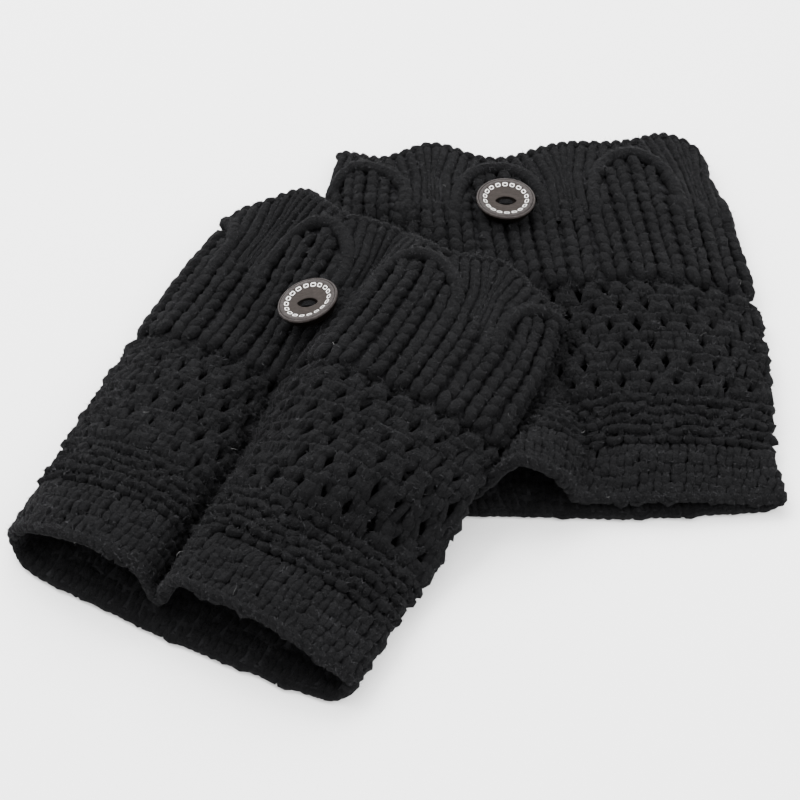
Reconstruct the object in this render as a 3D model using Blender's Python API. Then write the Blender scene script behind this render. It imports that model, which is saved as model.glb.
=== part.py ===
"""A pair of knitted boot cuffs that lie on a table, one across the other.

Each cuff is one knitted tube, pressed nearly flat: a ribbed band with cable arches and a
scalloped edge at the top, a lace body, and a ridged hem, with a wooden button on the band.
Lengths are in millimetres here and are turned into metres where a mesh is made.
The world's origin is at the middle of the pair's footprint, on the table, and +Z is up.
"""
import math

import bmesh
import bpy
import numpy as np

MM = 0.001

# The knitting of one cuff, hem at 0 and top edge at LENGTH
LENGTH = 183.0
AROUND = 332.0
WALL = 3.0
SEAM = 0.3
HEM_HEIGHT = 46.0
BAND_FROM = 103.0
RIBS = 30
ARCHES = 6

# How far each knitted form stands out of the wall
BAND_STEP = 0.4
RIB_RISE = 1.9
FAN_RIB_SHARE = 0.6
HEM_STEP = 0.8
RIDGE_RISE = 1.5
RIDGES = 6

# A groove that parts the hem's plain rows from its purl rows
HEM_GROOVE = 1.2
HEM_GROOVE_AT = 23.0
HEM_GROOVE_HALF = 2.2

# The scalloped top edge, and the cable arch below each dip of it
SCALLOP = 3.6
ARCH_HALF = 17.5
ARCH_FOOT = 150.0
ARCH_CROWN = 171.5
ARCH_RISE = 2.2
ARCH_HALF_WIDTH = 2.9
ARCH_GROOVE = 1.0
ARCH_GROOVE_IN = 5.0
ARCH_ENDS = (136.0, 148.0)

# How finely the tube is divided
PLACES_PER_RIB = 4
FIRST_PLACE = -4
LAST_PLACE = 70
UNDERSIDE_PLACES = 16

# Below and above these upward shares of its normal, the cloth's relief is none and full
RELIEF_FACING = (-0.35, 0.25)

# The lower cuff is pressed flat under the upper one, which is lifted over it
PRESSED = 11.0
LIFT = 13.4
PRESSED_RISE = 0.5

# How a section rounds over between the places in its row
EDGE_IN = 7.0
EDGE_LIP_SHARE = 0.4
EDGE_HUMP_SHARE = 0.58
BROW_BEFORE_DIP = 7.0
STEEP_AFTER_DIP = 3.5
SHOULDER_AFTER_DIP = 9.0
RIGHT_IN = 11.0
RIGHT_LIP_SHARE = 0.2
RIGHT_CROWN_SHARE = 0.6
TABLE_IN = 5.0
FLAT_IN = 14.0

# Cross-sections of each cuff: how far along the cuff, then places across it and heights.
# A section runs from the left edge over a hump and its brow down into a dip, up a steep
# side to a shoulder and a crown, over to the right edge and back along the flat underside.
COLUMNS = (
    "along", "left", "left_lip", "hump_at", "hump", "brow", "dip_at", "dip",
    "shoulder", "crown_at", "crown", "right", "right_lip",
)
UPPER_SECTIONS = (
    (0, -69, 8, -30, 29, 26, -8, 10, 28, 14, 29, 68, 8),
    (30, -71, 8, -34, 26, 22, -9, 9, 26, 20, 27, 70, 8),
    (65, -74, 7, -40, 22, 18, -10, 9, 23, 26, 24, 74, 8),
    (95, -76, 7, -44, 18, 14, -12, 9, 20, 30, 22, 76, 8),
    (118, -77, 7, -48, 15, 12, -7, 10, 20, 34, 22, 76, 8),
    (142, -77, 7, -52, 14, 12, -3, 11, 20, 37, 21, 76, 8),
    (183, -74, 6, -50, 13, 11, 1, 10, 18, 40, 19, 71, 7),
)
LOWER_SECTIONS = (
    (0, -78, 5, -10, 27, 20, 5, 9, 9, 40, 9, 78, 5),
    (30, -79, 6, -7, 20, 16, 9, 8, 12, 42, 13, 79, 6),
    (50, -80, 6, -12, 16, 15, 3, 10, 14, 42, 16, 81, 7),
    (75, -81, 6, -20, 15, 15, 4, 14, 15, 42, 17, 83, 7),
    (95, -82, 6, -20, 15, 15, 4, 15, 16, 42, 17, 83, 7),
    (140, -83, 6, -20, 15, 15, 4, 15, 16, 42, 17, 80, 7),
    (183, -78, 5, -20, 13, 13, 4, 13, 13, 42, 14, 75, 6),
)

# How far the hem and the top edge run past their even line: place across, then how far
UPPER_HEM = ((-78, 3), (-60, -2), (-30, -2), (0, -3), (35, -4), (60, -5), (78, -2))
UPPER_TOP = ((-78, 2), (-52, 7), (-27, 3), (0, -2), (27, -8), (50, -7), (78, -6))
LOWER_HEM = ((-80, 2), (-10, 2), (20, 1), (50, 2), (80, 3))
LOWER_TOP = (
    (-84, 2), (-75, 4), (-60, -4), (-39, -2), (-13, -3), (15, -1), (32, 4), (46, 8), (62, 8),
    (70, 5), (80, -3),
)
HEM_FADE = 3
TOP_FADE = 4

# The underside's hem bows out past the upper side's, most in its middle
HALF_WIDTH = 80.0
UNDERSIDE_DEPTHS = (-9.0, -1.0)

# Where each cuff lies: its hem's middle, its heading, and how far its underside's hem bows out
UPPER = dict(
    sections=UPPER_SECTIONS, hem_trim=UPPER_HEM, top_trim=UPPER_TOP, hem=(-76.0, -100.6),
    heading=25.0, lean=0.0, hem_bow=6.5, fan_at=24.0, lifted=True,
    button_at=68.9, button_along=129.3, button_turn=-13.0, button_lean=(0.063, 0.158),
)
LOWER = dict(
    sections=LOWER_SECTIONS, hem_trim=LOWER_HEM, top_trim=LOWER_TOP, hem=(61.0, -56.0),
    heading=0.0, lean=-9.0, hem_bow=2.0, fan_at=44.0, lifted=False,
    button_at=73.1, button_along=143.7, button_turn=1.0, button_lean=(0.0, 0.0),
)
CENTRE = (0.6, 2.1)

# Lift of the upper cuff over the lower one's left edge and hem: from and to, across the table
LIFT_ACROSS = (-54.0, -25.0)
LIFT_ALONG = (-86.0, -60.0)
# The lower cuff rises again beyond the upper one's right side and top edge
PRESS_SIDE = (70.0, 88.0)
PRESS_TOP = (187.0, 203.0)

# A button's half section, from the edge of its foot to the edge of its dish: radius, height
BUTTON_RINGS = (
    (9.0, 0.0), (10.1, 0.7), (11.35, 3.4), (11.9, 4.3), (11.55, 5.25), (10.7, 5.6),
    (9.4, 5.6), (8.0, 5.2), (6.3, 4.55),
)
BUTTON_RADIUS = 11.9
DISH_FLOOR = 4.5
BUTTON_SIDES = 40
# The recess lies a little to one side of the button's middle
EYE_LENGTH = 8.5
EYE_WIDTH = 5.0
EYE_DEPTH = 1.4
EYE_ASIDE = 0.7
# From pointed ends at 1 to an ellipse at a half
EYE_ENDS = 0.7
SEAT_REACHES = (0.3, 0.65, 0.95)

YARN = ("knit_yarn", (0.012, 0.012, 0.013), 0.95)
WOOD = ("button_wood", (0.12, 0.09, 0.07), 0.5)


def ease(value, start, end):
    """0 before start, 1 after end, and a smooth rise between them."""
    t = np.clip((np.asarray(value, float) - start) / (end - start), 0.0, 1.0)
    return t * t * (3.0 - 2.0 * t)


def through(knots, values, at):
    """A smooth curve through values at the knots, read at each place in at."""
    knots = np.asarray(knots, float)
    values = np.asarray(values, float)
    steps = np.diff(knots)
    slopes = np.diff(values, axis=0) / steps[:, None]
    tangents = np.empty_like(values)
    tangents[0] = slopes[0]
    tangents[-1] = slopes[-1]
    before = steps[:-1, None]
    after = steps[1:, None]
    tangents[1:-1] = (slopes[:-1] * after + slopes[1:] * before) / (before + after)
    index = np.clip(np.searchsorted(knots, at, side="right") - 1, 0, len(steps) - 1)
    step = steps[index][:, None]
    t = ((at - knots[index])[:, None]) / step
    return (
        (1 + 2 * t) * (1 - t) ** 2 * values[index]
        + t * (1 - t) ** 2 * step * tangents[index]
        + t * t * (3 - 2 * t) * values[index + 1]
        - t * t * (1 - t) * step * tangents[index + 1]
    )


def section_points(row):
    """The places that one section runs through, from the left edge over the top and back."""
    c = dict(zip(COLUMNS, row))
    middle = 0.5 * (c["left"] + c["right"])
    return np.array([
        (c["left"], c["left_lip"]),
        (c["left"] + EDGE_IN, EDGE_LIP_SHARE * c["left_lip"] + EDGE_HUMP_SHARE * c["hump"]),
        (c["hump_at"], c["hump"]),
        (c["dip_at"] - BROW_BEFORE_DIP, c["brow"]),
        (c["dip_at"], c["dip"]),
        (c["dip_at"] + STEEP_AFTER_DIP, 0.5 * (c["dip"] + c["shoulder"])),
        (c["dip_at"] + SHOULDER_AFTER_DIP, c["shoulder"]),
        (c["crown_at"], c["crown"]),
        (c["right"] - RIGHT_IN, RIGHT_LIP_SHARE * c["right_lip"] + RIGHT_CROWN_SHARE * c["crown"]),
        (c["right"], c["right_lip"]),
        (c["right"] - TABLE_IN, 0.0),
        (c["right"] - FLAT_IN, 0.0),
        (middle, 0.0),
        (c["left"] + FLAT_IN, 0.0),
        (c["left"] + TABLE_IN, 0.0),
    ])


def past(table, across):
    """How far an edge runs past its even line, at each place across."""
    rows = np.array(table, float)
    at = np.clip(np.ravel(across), rows[0, 0], rows[-1, 0])
    return through(rows[:, 0], rows[:, 1:], at)[:, 0].reshape(np.shape(across))


class Cuff:
    """The outer face of one knitted tube, at any place round it (0 to 1) and along it."""

    ROWS = 62
    PLACES = 480
    CURVE_PLACES = 900
    BEYOND = 10.0
    NEAR_ROUND = 0.004
    NEAR_ALONG = 1.5

    def __init__(self, place):
        self.place = place
        rows = np.array(place["sections"], float)
        self.stations = np.linspace(-self.BEYOND, LENGTH + self.BEYOND, self.ROWS)
        table = through(rows[:, 0], rows, np.clip(self.stations, 0.0, LENGTH))
        self.grid = np.array([self.closed_section(section_points(row)) for row in table])

    def closed_section(self, points):
        """The closed curve through a section's points, evenly spaced along its length."""
        count = len(points)
        wrapped = np.concatenate([points[-3:], points, points[:4]])
        knots = np.concatenate([[0.0], np.cumsum(np.linalg.norm(np.diff(wrapped, axis=0), axis=1))])
        at = np.linspace(knots[3], knots[3 + count], self.CURVE_PLACES)
        curve = through(knots, wrapped, at)
        curve[:, 1] = np.maximum(curve[:, 1], 0.0)
        run = np.concatenate([[0.0], np.cumsum(np.linalg.norm(np.diff(curve, axis=0), axis=1))])
        even = np.linspace(0.0, run[-1], self.PLACES, endpoint=False)
        return np.stack([np.interp(even, run, curve[:, 0]), np.interp(even, run, curve[:, 1])], axis=1)

    def local(self, round_it, along):
        """Across and height, in the cuff's own frame."""
        u = np.mod(round_it, 1.0) * self.PLACES
        spacing = self.stations[1] - self.stations[0]
        v = np.clip((along - self.stations[0]) / spacing, 0, self.ROWS - 1.001)
        i = np.floor(u).astype(int)
        j = np.floor(v).astype(int)
        fu = (u - i)[..., None]
        fv = (v - j)[..., None]
        i = i % self.PLACES
        after = (i + 1) % self.PLACES
        low = self.grid[j, i] * (1 - fu) + self.grid[j, after] * fu
        high = self.grid[j + 1, i] * (1 - fu) + self.grid[j + 1, after] * fu
        return low * (1 - fv) + high * fv

    def surface(self, round_it, along):
        """Points of the wall's plain outer face on the table."""
        round_it, along = np.broadcast_arrays(np.asarray(round_it, float), np.asarray(along, float))
        place = self.place
        flat = self.local(round_it, along)
        across = flat[..., 0]
        height = flat[..., 1]
        share = along / LENGTH
        below = ease(-height, *UNDERSIDE_DEPTHS) * (1.0 - (across / HALF_WIDTH) ** 2)
        hem_past = past(place["hem_trim"], across) - place["hem_bow"] * below
        top_past = past(place["top_trim"], across)
        reach = (
            along + hem_past * np.clip(1 - share, 0, 1) ** HEM_FADE
            + top_past * np.clip(share, 0, 1) ** TOP_FADE
        )
        turn = math.radians(place["heading"])
        sideways = across + place["lean"] * share
        x = place["hem"][0] + sideways * math.cos(turn) + reach * math.sin(turn)
        y = place["hem"][1] - sideways * math.sin(turn) + reach * math.cos(turn)
        if place["lifted"]:
            z = height + lift_over(x, y)
        else:
            z = height - press_under(x, y) * np.maximum(height - PRESSED, 0.0)
        return np.stack([x, y, z], axis=-1)

    def normals(self, round_it, along):
        """Unit vectors out of the cloth."""
        over = (
            self.surface(round_it + self.NEAR_ROUND, along)
            - self.surface(round_it - self.NEAR_ROUND, along)
        )
        up = self.surface(round_it, along + self.NEAR_ALONG) - self.surface(round_it, along - self.NEAR_ALONG)
        out = np.cross(over, up)
        out /= np.maximum(np.linalg.norm(out, axis=-1, keepdims=True), 1e-9)
        return -out if out[0, :, 2].sum() < 0 else out

    def raised(self, round_it, along, rise):
        """The outer face moved out by rise, but not where it faces down and rests flat."""
        points = self.surface(round_it, along)
        out = self.normals(round_it, along)
        rise = rise * ease(out[..., 2], *RELIEF_FACING)
        if not self.place["lifted"]:
            rise = rise * (1.0 - PRESSED_RISE * press_under(points[..., 0], points[..., 1]))
        return points + out * rise[..., None]

    def inner(self, round_it, along):
        """The wall's inner face."""
        return self.surface(round_it, along) - WALL * self.normals(round_it, along)


def lift_over(x, y):
    """How far the upper cuff is lifted by the lower one under it."""
    return LIFT * ease(x, *LIFT_ACROSS) * ease(y, *LIFT_ALONG)


def press_under(x, y):
    """1 where the upper cuff lies on the lower one, 0 beyond its side and its top edge."""
    turn = math.radians(UPPER["heading"])
    dx = x - UPPER["hem"][0]
    dy = y - UPPER["hem"][1]
    across = dx * math.cos(turn) - dy * math.sin(turn)
    reach = dx * math.sin(turn) + dy * math.cos(turn) - past(UPPER_TOP, across)
    return (1.0 - ease(across, *PRESS_SIDE)) * (1.0 - ease(reach, *PRESS_TOP))


def spaced_round():
    """Places round a tube: some to each rib over the top and both edges, fewer underneath."""
    upper = np.arange(FIRST_PLACE, LAST_PLACE + 1) / (PLACES_PER_RIB * RIBS)
    gap = (1.0 + upper[0]) - upper[-1]
    underneath = upper[-1] + gap * np.arange(1, UNDERSIDE_PLACES) / UNDERSIDE_PLACES
    return np.concatenate([upper, underneath])


def top_edge(cuff, round_it):
    """The scalloped top edge: it peaks at each fan of stitches and dips over each arch."""
    fan = cuff.place["fan_at"] / AROUND
    return LENGTH + SCALLOP * np.cos(2 * math.pi * ARCHES * (round_it - fan))


def past_arch(cuff, round_it, along):
    """How far each place lies outside the nearest arch's crest line, less than 0 inside it."""
    middle = cuff.place["fan_at"] / AROUND + 0.5 / ARCHES
    turns = (round_it - middle) * ARCHES
    aside = (turns - np.round(turns)) * AROUND / ARCHES
    height = ARCH_CROWN - ARCH_FOOT
    above = np.maximum(along - ARCH_FOOT, 0.0) / height
    return (np.hypot(aside / ARCH_HALF, above) - 1.0) * 0.5 * (ARCH_HALF + height)


def band_rise(cuff, round_it, along):
    """Ribs up the band, a raised cable arch in each repeat, and fans of stitches above it."""
    beyond = past_arch(cuff, round_it, along)
    cable = ARCH_RISE * np.exp(-((beyond / ARCH_HALF_WIDTH) ** 2))
    groove = ARCH_GROOVE * np.exp(-(((beyond + ARCH_GROOVE_IN) / ARCH_HALF_WIDTH) ** 2))
    arch = ease(along, *ARCH_ENDS)
    ribs = RIB_RISE * (0.5 + 0.5 * np.cos(2 * math.pi * RIBS * round_it))
    fan = ease(beyond, 0.0, ARCH_HALF_WIDTH) * arch
    ribs = ribs * (1.0 - (1.0 - FAN_RIB_SHARE) * fan)
    plain = 1.0 - arch * np.exp(-((beyond / ARCH_HALF_WIDTH) ** 2))
    return BAND_STEP + ribs * plain + (cable - groove) * arch


def hem_rise(along):
    """Ridges that run round the hem, with a groove halfway up."""
    ridges = RIDGE_RISE * (0.5 - 0.5 * np.cos(2 * math.pi * RIDGES * along / HEM_HEIGHT))
    groove = HEM_GROOVE * np.exp(-(((along - HEM_GROOVE_AT) / HEM_GROOVE_HALF) ** 2))
    return HEM_STEP + ridges - groove


def make_material(name, colour, roughness):
    """A plain surface with one colour."""
    material = bpy.data.materials.get(name) or bpy.data.materials.new(name)
    material.use_nodes = True
    shader = material.node_tree.nodes["Principled BSDF"]
    shader.inputs["Base Color"].default_value = (*colour, 1.0)
    shader.inputs["Roughness"].default_value = roughness
    shader.inputs["Metallic"].default_value = 0.0
    return material


def make_object(name, mesh_builder, finish):
    """A new named object from a bmesh, with its material, in metres."""
    bmesh.ops.scale(mesh_builder, vec=(MM, MM, MM), verts=mesh_builder.verts)
    bmesh.ops.recalc_face_normals(mesh_builder, faces=mesh_builder.faces)
    mesh = bpy.data.meshes.new(name)
    mesh_builder.to_mesh(mesh)
    mesh_builder.free()
    mesh.shade_smooth()
    mesh.materials.append(make_material(*finish))
    made = bpy.data.objects.new(name, mesh)
    bpy.context.collection.objects.link(made)
    return made


def knit_tube(name, outer, inner):
    """One knitted wall: outer and inner are rows of points, with two outer points to an inner one."""
    builder = bmesh.new()
    shift = np.array([CENTRE[0], CENTRE[1], 0.0])
    outer_rows = [[builder.verts.new(p - shift) for p in row] for row in outer]
    inner_rows = [[builder.verts.new(p - shift) for p in row] for row in inner]
    for rows in (outer_rows, inner_rows):
        for row, above in zip(rows, rows[1:]):
            for k in range(len(row)):
                nxt = (k + 1) % len(row)
                builder.faces.new((row[k], row[nxt], above[nxt]))
                builder.faces.new((row[k], above[nxt], above[k]))
    for end in (0, -1):
        outside = outer_rows[end]
        inside = inner_rows[end]
        for k in range(len(inside)):
            nxt = (k + 1) % len(inside)
            first = outside[2 * k]
            middle = outside[2 * k + 1]
            last = outside[(2 * k + 2) % len(outside)]
            builder.faces.new((first, middle, inside[k]))
            builder.faces.new((middle, last, inside[nxt]))
            builder.faces.new((middle, inside[nxt], inside[k]))
    return make_object(name, builder, YARN)


def even_levels(places, heights):
    """Rows that run level round the tube at each height."""
    return [np.full_like(places, height) for height in heights]


def outer_rows(cuff, places, levels, rise):
    """Points of the knitted outer face along each level row, never below the table."""
    rows = []
    for along in levels:
        points = cuff.raised(places[None, :], along[None, :], rise(places, along)[None, :])[0]
        points[:, 2] = np.maximum(points[:, 2], 0.0)
        rows.append(points)
    return rows


def inner_rows(cuff, places, levels):
    """Points of the plain inner face along each level row."""
    return [cuff.inner(places[None, :], along[None, :])[0] for along in levels]


def make_hem(prefix, cuff):
    """The ridged hem, from the lower edge up."""
    places = spaced_round()
    inside = places[::2]
    top = HEM_HEIGHT - 0.5 * SEAM
    levels = even_levels(places, np.linspace(0.0, top, 2 * RIDGES + 1))
    outer = outer_rows(cuff, places, levels, lambda u, v: hem_rise(v))
    inner = inner_rows(cuff, inside, even_levels(inside, np.linspace(0.0, top, 4)))
    return knit_tube(prefix + "_hem", outer, inner)


def make_body(prefix, cuff):
    """The lace body, whose wall is left whole."""
    places = spaced_round()
    inside = places[::2]
    bottom = HEM_HEIGHT + 0.5 * SEAM
    top = BAND_FROM - 0.5 * SEAM
    levels = even_levels(places, np.linspace(bottom, top, 8))
    outer = outer_rows(cuff, places, levels, lambda u, v: np.zeros_like(u))
    inner = inner_rows(cuff, inside, even_levels(inside, np.linspace(bottom, top, 5)))
    return knit_tube(prefix + "_body", outer, inner)


def make_band(prefix, cuff):
    """The ribbed band with its arches, up to the scalloped edge."""
    places = spaced_round()
    inside = places[::2]
    bottom = BAND_FROM + 0.5 * SEAM
    lower = np.linspace(0.0, 0.45, 5)
    upper = np.linspace(0.45, 1.0, 13)[1:]
    shares = np.concatenate([lower, upper])
    levels = [bottom + (top_edge(cuff, places) - bottom) * share for share in shares]
    inside_levels = [bottom + (top_edge(cuff, inside) - bottom) * share for share in np.linspace(0, 1, 7)]
    outer = outer_rows(cuff, places, levels, lambda u, v: band_rise(cuff, u, v))
    inner = inner_rows(cuff, inside, inside_levels)
    return knit_tube(prefix + "_band", outer, inner)


def button_seat(cuff, round_it, along, lean):
    """The place where a button lies on the band, and the way that it faces as its thread lets it lean."""
    angles = np.linspace(0.0, 2 * math.pi, 24, endpoint=False)
    reach = np.array(SEAT_REACHES)[:, None] * BUTTON_RADIUS
    u = round_it + reach * np.cos(angles) / AROUND
    v = along + reach * np.sin(angles)
    under = cuff.raised(u, v, band_rise(cuff, u, v)).reshape(-1, 3)
    middle = under.mean(axis=0)
    facing = np.linalg.svd(under - middle)[2][2]
    facing *= math.copysign(1.0, facing[2])
    facing += np.array([*lean, 0.0])
    facing /= np.linalg.norm(facing)
    highest = ((under - middle) @ facing).max()
    return middle + facing * (highest + SEAM), facing


def eye_point(angle):
    """A point of the rounded almond's outline, in the direction of an angle."""
    side = math.sin(angle)
    reach = 0.5 * EYE_WIDTH * abs(side) ** (2 * EYE_ENDS)
    return 0.5 * EYE_LENGTH * math.cos(angle), math.copysign(reach, side) - EYE_ASIDE


def make_button(name, seat, facing, turn):
    """A turned wooden button with a dished face, a rounded rim and an almond recess."""
    builder = bmesh.new()
    angles = [2 * math.pi * k / BUTTON_SIDES for k in range(BUTTON_SIDES)]
    rows = []
    for radius, height in BUTTON_RINGS:
        rows.append([builder.verts.new((radius * math.cos(w), radius * math.sin(w), height)) for w in angles])
    for height in (DISH_FLOOR, DISH_FLOOR - EYE_DEPTH):
        rows.append([builder.verts.new((*eye_point(w), height)) for w in angles])
    for row, above in zip(rows, rows[1:]):
        for k in range(BUTTON_SIDES):
            nxt = (k + 1) % BUTTON_SIDES
            builder.faces.new((row[k], row[nxt], above[nxt], above[k]))
    builder.faces.new(reversed(rows[0]))
    builder.faces.new(rows[-1])
    bmesh.ops.triangulate(builder, faces=[f for f in builder.faces if len(f.verts) > 4])
    up = np.array(facing)
    side = np.array([math.cos(turn), math.sin(turn), 0.0])
    side -= up * side.dot(up)
    side /= np.linalg.norm(side)
    back = np.cross(up, side)
    start = np.array(seat) - np.array([CENTRE[0], CENTRE[1], 0.0])
    for vertex in builder.verts:
        p = vertex.co
        vertex.co = start + side * p.x + back * p.y + up * p.z
    return make_object(name, builder, WOOD)


def clear_scene():
    """Removes whatever the open file holds."""
    for old in list(bpy.data.objects):
        bpy.data.objects.remove(old, do_unlink=True)


def main():
    """Makes both cuffs, piece by piece."""
    clear_scene()
    for prefix, cuff in (("front_cuff", Cuff(UPPER)), ("rear_cuff", Cuff(LOWER))):
        make_hem(prefix, cuff)
        make_body(prefix, cuff)
        make_band(prefix, cuff)
        place = cuff.place
        round_it = place["button_at"] / AROUND
        seat, facing = button_seat(cuff, round_it, place["button_along"], place["button_lean"])
        make_button(prefix + "_button", seat, facing, math.radians(place["button_turn"]))


main()
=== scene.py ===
import math

import bpy
import numpy as np
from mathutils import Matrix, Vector


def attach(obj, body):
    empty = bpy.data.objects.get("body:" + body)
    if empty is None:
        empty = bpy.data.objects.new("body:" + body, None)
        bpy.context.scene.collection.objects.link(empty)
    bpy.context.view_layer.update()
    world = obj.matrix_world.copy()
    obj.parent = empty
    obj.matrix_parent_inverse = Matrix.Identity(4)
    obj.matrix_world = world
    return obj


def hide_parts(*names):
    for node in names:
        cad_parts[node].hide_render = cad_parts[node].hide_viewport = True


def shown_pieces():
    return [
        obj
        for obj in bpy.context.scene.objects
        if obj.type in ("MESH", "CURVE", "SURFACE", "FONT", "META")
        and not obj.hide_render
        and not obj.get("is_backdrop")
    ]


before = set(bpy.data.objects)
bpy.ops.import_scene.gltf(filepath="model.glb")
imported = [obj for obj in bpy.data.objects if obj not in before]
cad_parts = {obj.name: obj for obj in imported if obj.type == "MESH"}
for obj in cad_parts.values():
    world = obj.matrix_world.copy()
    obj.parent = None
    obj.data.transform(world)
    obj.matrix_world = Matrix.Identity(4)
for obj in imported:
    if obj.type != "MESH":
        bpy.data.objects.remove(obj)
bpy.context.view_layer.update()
print("cuffs: frame loaded")

# lengths are in millimetres until a mesh is made
mm = 0.001

# one knitted cuff, hem at 0 and top edge at length
cuffSize = {
    "length": 183.0,
    "around": 332.0,
    "hemTop": 46.0,
    "bandFrom": 103.0,
    "ribs": 30,
    "arches": 6,
    "scallop": 3.6,
    "pressed": 11.0,      # height that the rear cuff is pressed to
    "lift": 13.4,         # how far the front cuff is lifted over it
    "pressedRise": 0.5,   # share of the relief that the pressing takes
}
pairMiddle = np.array([0.6, 2.1, 0.0])

# along, then across and height of each fold: left edge, hump and brow, dip, shoulder and crown, right edge
frontCuff = {
    "sections": (
        (0, -69, 8, -30, 29, 26, -8, 10, 28, 14, 29, 68, 8),
        (30, -71, 8, -34, 26, 22, -9, 9, 26, 20, 27, 70, 8),
        (65, -74, 7, -40, 22, 18, -10, 9, 23, 26, 24, 74, 8),
        (95, -76, 7, -44, 18, 14, -12, 9, 20, 30, 22, 76, 8),
        (118, -77, 7, -48, 15, 12, -7, 10, 20, 34, 22, 76, 8),
        (142, -77, 7, -52, 14, 12, -3, 11, 20, 37, 21, 76, 8),
        (183, -74, 6, -50, 13, 11, 1, 10, 18, 40, 19, 71, 7),
    ),
    "hemTrim": ((-78, 3), (-60, -2), (-30, -2), (0, -3), (35, -4), (60, -5), (78, -2)),
    "topTrim": ((-78, 2), (-52, 7), (-27, 3), (0, -2), (27, -8), (50, -7), (78, -6)),
    "hemAt": (-76.0, -100.6),
    "heading": 25.0,
    "lean": 0.0,
    "hemBow": 6.5,
    "fanAt": 24.0,
    "lifted": True,
    "nodes": "front_cuff",
    "name": "front",
}
rearCuff = {
    "sections": (
        (0, -78, 5, -10, 27, 20, 5, 9, 9, 40, 9, 78, 5),
        (30, -79, 6, -7, 20, 16, 9, 8, 12, 42, 13, 79, 6),
        (50, -80, 6, -12, 16, 15, 3, 10, 14, 42, 16, 81, 7),
        (75, -81, 6, -20, 15, 15, 4, 14, 15, 42, 17, 83, 7),
        (95, -82, 6, -20, 15, 15, 4, 15, 16, 42, 17, 83, 7),
        (140, -83, 6, -20, 15, 15, 4, 15, 16, 42, 17, 80, 7),
        (183, -78, 5, -20, 13, 13, 4, 13, 13, 42, 14, 75, 6),
    ),
    "hemTrim": ((-80, 2), (-10, 2), (20, 1), (50, 2), (80, 3)),
    "topTrim": (
        (-84, 2), (-75, 4), (-60, -4), (-39, -2), (-13, -3), (15, -1), (32, 4), (46, 8),
        (62, 8), (70, 5), (80, -3),
    ),
    "hemAt": (61.0, -56.0),
    "heading": 0.0,
    "lean": -9.0,
    "hemBow": 2.0,
    "fanAt": 44.0,
    "lifted": False,
    "nodes": "rear_cuff",
    "name": "rear",
}
liftAcross = (-54.0, -25.0)
liftAlong = (-86.0, -60.0)
pressSide = (70.0, 88.0)
pressTop = (187.0, 203.0)


def ease(value, start, end):
    t = np.clip((np.asarray(value, float) - start) / (end - start), 0.0, 1.0)
    return t * t * (3.0 - 2.0 * t)


def through(knots, values, at):   # a smooth curve through values at the knots
    knots = np.asarray(knots, float)
    values = np.asarray(values, float)
    steps = np.diff(knots)
    slopes = np.diff(values, axis=0) / steps[:, None]
    tangents = np.empty_like(values)
    tangents[0] = slopes[0]
    tangents[-1] = slopes[-1]
    before = steps[:-1, None]
    after = steps[1:, None]
    tangents[1:-1] = (slopes[:-1] * after + slopes[1:] * before) / (before + after)
    index = np.clip(np.searchsorted(knots, at, side="right") - 1, 0, len(steps) - 1)
    step = steps[index][:, None]
    t = ((at - knots[index])[:, None]) / step
    return (
        (1 + 2 * t) * (1 - t) ** 2 * values[index]
        + t * (1 - t) ** 2 * step * tangents[index]
        + t * t * (3 - 2 * t) * values[index + 1]
        - t * t * (1 - t) * step * tangents[index + 1]
    )


def unit(vectors):
    return vectors / np.maximum(np.linalg.norm(vectors, axis=-1, keepdims=True), 1e-9)


def past(trim, across):   # how far an edge runs past its even line
    rows = np.array(trim, float)
    at = np.clip(np.ravel(across), rows[0, 0], rows[-1, 0])
    return through(rows[:, 0], rows[:, 1:], at)[:, 0].reshape(np.shape(across))


def sectionPoints(row):   # the folds of one section, then its flat underside back to the left edge
    left, leftLip, humpAt, hump, brow, dipAt, dip, shoulder, crownAt, crown, right, rightLip = row[1:]
    middle = 0.5 * (left + right)
    return np.array([
        (left, leftLip),
        (left + 7.0, 0.4 * leftLip + 0.58 * hump),
        (humpAt, hump),
        (dipAt - 7.0, brow),
        (dipAt, dip),
        (dipAt + 3.5, 0.5 * (dip + shoulder)),
        (dipAt + 9.0, shoulder),
        (crownAt, crown),
        (right - 11.0, 0.2 * rightLip + 0.6 * crown),
        (right, rightLip),
        (right - 5.0, 0.0),
        (right - 14.0, 0.0),
        (middle, 0.0),
        (left + 14.0, 0.0),
        (left + 5.0, 0.0),
    ])


formGrid = {
    "rows": 62,
    "places": 480,
    "beyond": 10.0,       # past the hem and the top edge
    "fine": 900,          # points on a section before they are spaced evenly
    "steps": (0.004, 1.5),   # round and along, to find the way out of the cloth
}


def closedSection(points, places):   # a smooth closed line through the points, spaced evenly
    count = len(points)
    wrapped = np.concatenate([points[-3:], points, points[:4]])
    steps = np.linalg.norm(np.diff(wrapped, axis=0), axis=1)
    knots = np.concatenate([[0.0], np.cumsum(steps)])
    at = np.linspace(knots[3], knots[3 + count], formGrid["fine"])
    curve = through(knots, wrapped, at)
    curve[:, 1] = np.maximum(curve[:, 1], 0.0)
    run = np.concatenate([[0.0], np.cumsum(np.linalg.norm(np.diff(curve, axis=0), axis=1))])
    even = np.linspace(0.0, run[-1], places, endpoint=False)
    return np.stack([np.interp(even, run, curve[:, 0]), np.interp(even, run, curve[:, 1])], axis=1)


def layOut(cuff):   # fills in the cuff's sections, so that any place on it can be read
    rows = np.array(cuff["sections"], float)
    length = cuffSize["length"]
    beyond = formGrid["beyond"]
    cuff["stations"] = np.linspace(-beyond, length + beyond, formGrid["rows"])
    table = through(rows[:, 0], rows, np.clip(cuff["stations"], 0.0, length))
    cuff["grid"] = np.array([closedSection(sectionPoints(row), formGrid["places"]) for row in table])


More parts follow.
